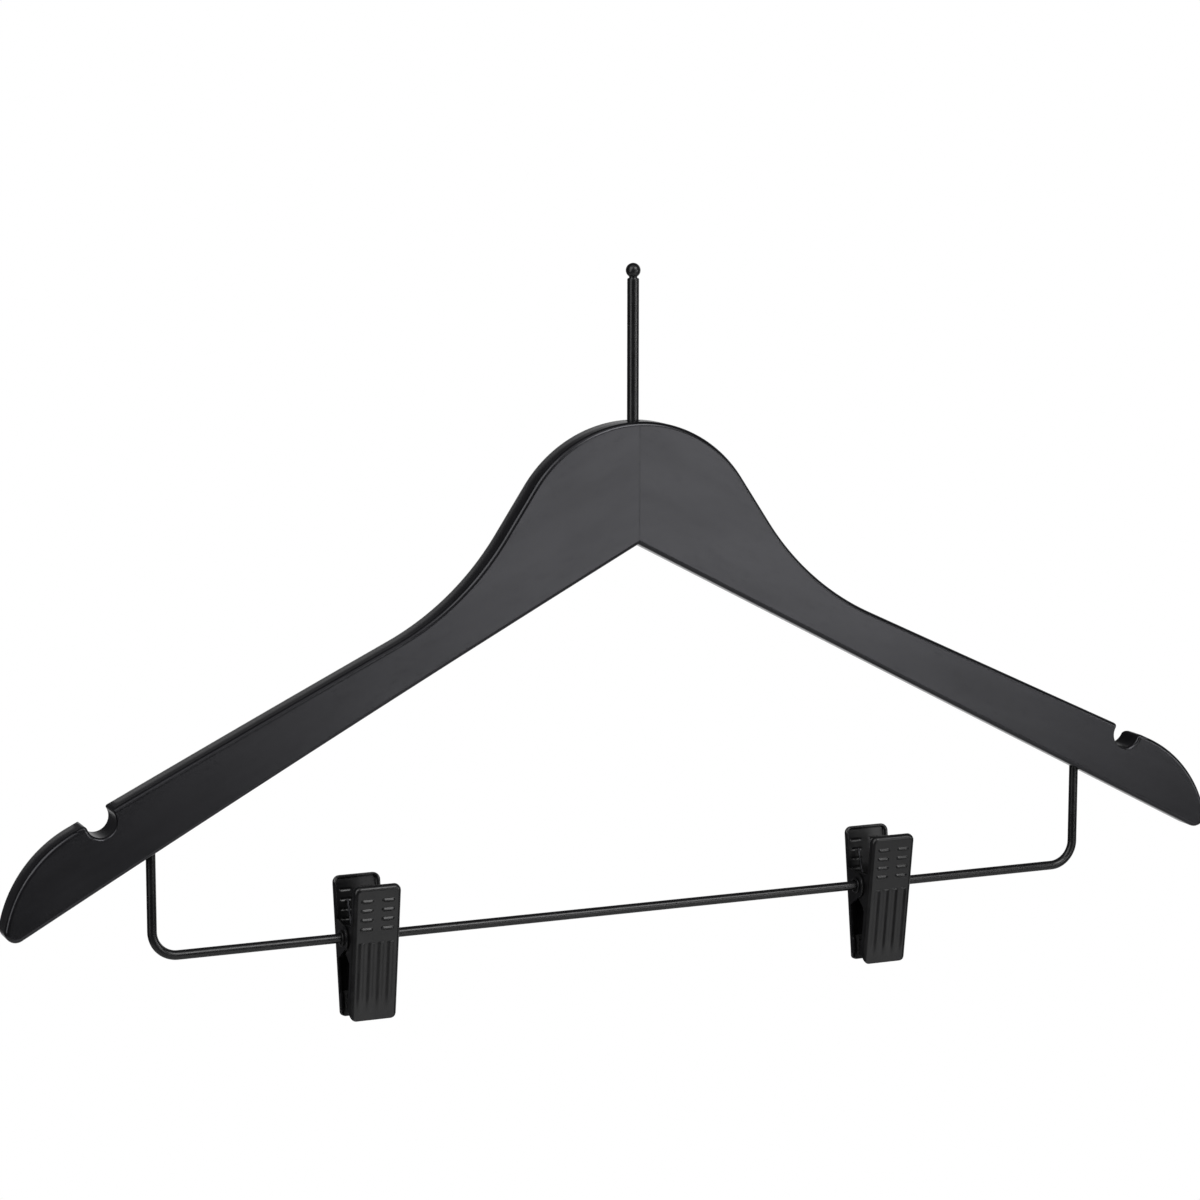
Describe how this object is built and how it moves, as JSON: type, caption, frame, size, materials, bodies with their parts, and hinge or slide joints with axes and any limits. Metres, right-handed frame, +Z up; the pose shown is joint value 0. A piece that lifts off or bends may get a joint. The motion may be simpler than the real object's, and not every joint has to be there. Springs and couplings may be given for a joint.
{
  "type": "clip hanger",
  "caption": "Wooden clothes hanger with a ball-top pin, a strap notch near each shoulder end, and a wire bar that carries sliding spring clips.",
  "frame": {"origin": "centre of the ball at the top of the pin, which the hanger hangs by", "axes": "+X along the arms towards the right one, +Y from the front face to the back, +Z up along the pin"},
  "size_m": [0.445, 0.0215, 0.2487],
  "materials": {
    "black_lacquered_wood": "satin black lacquer over close-grained wood",
    "satin_black_steel": "satin black coating",
    "black_painted_steel": "semi-gloss black coating on pressed sheet",
    "black_spring_steel": "blackened spring wire",
    "black_rubber": "matt"
  },
  "bodies": {
    "hanger_body": {"left_arm": "black_lacquered_wood", "right_arm": "black_lacquered_wood", "ball_pin": "satin_black_steel", "clip_bar": "satin_black_steel"},
    "left_clip_carrier": {"left_pivot_tube": "black_painted_steel"},
    "left_clip_rear": {"left_rear_jaw": "black_painted_steel", "left_rear_pad": "black_rubber", "left_spring": "black_spring_steel"},
    "left_clip_front": {"left_front_jaw": "black_painted_steel", "left_front_pad": "black_rubber"},
    "right_clip_carrier": {"right_pivot_tube": "black_painted_steel"},
    "right_clip_rear": {"right_rear_jaw": "black_painted_steel", "right_rear_pad": "black_rubber", "right_spring": "black_spring_steel"},
    "right_clip_front": {"right_front_jaw": "black_painted_steel", "right_front_pad": "black_rubber"}
  },
  "joints": [
    {"name": "left_clip_slide", "type": "slide", "parent": "hanger_body", "child": "left_clip_carrier", "axis": [1, 0, 0], "range_m": [-0.0537, 0.0873]},
    {"name": "left_clip_swing", "type": "hinge", "parent": "left_clip_carrier", "child": "left_clip_rear", "pos_m": [-0.0983, -0.00473, -0.2183], "axis": [1, 0, 0], "continuous": true},
    {"name": "left_clip_opening", "type": "hinge", "parent": "left_clip_rear", "child": "left_clip_front", "pos_m": [-0.0983, -0.00473, -0.2183], "axis": [-1, 0, 0], "range_deg": [0, 38], "stiffness_Nm_per_rad": 0.3, "springref_deg": -34.38, "deforming": ["left_spring"]},
    {"name": "right_clip_slide", "type": "slide", "parent": "hanger_body", "child": "right_clip_carrier", "axis": [1, 0, 0], "range_m": [-0.0822, 0.0588]},
    {"name": "right_clip_swing", "type": "hinge", "parent": "right_clip_carrier", "child": "right_clip_rear", "pos_m": [0.0932, -0.00473, -0.2183], "axis": [1, 0, 0], "continuous": true},
    {"name": "right_clip_opening", "type": "hinge", "parent": "right_clip_rear", "child": "right_clip_front", "pos_m": [0.0932, -0.00473, -0.2183], "axis": [-1, 0, 0], "range_deg": [0, 38], "stiffness_Nm_per_rad": 0.3, "springref_deg": -34.38, "deforming": ["right_spring"]}
  ]
}
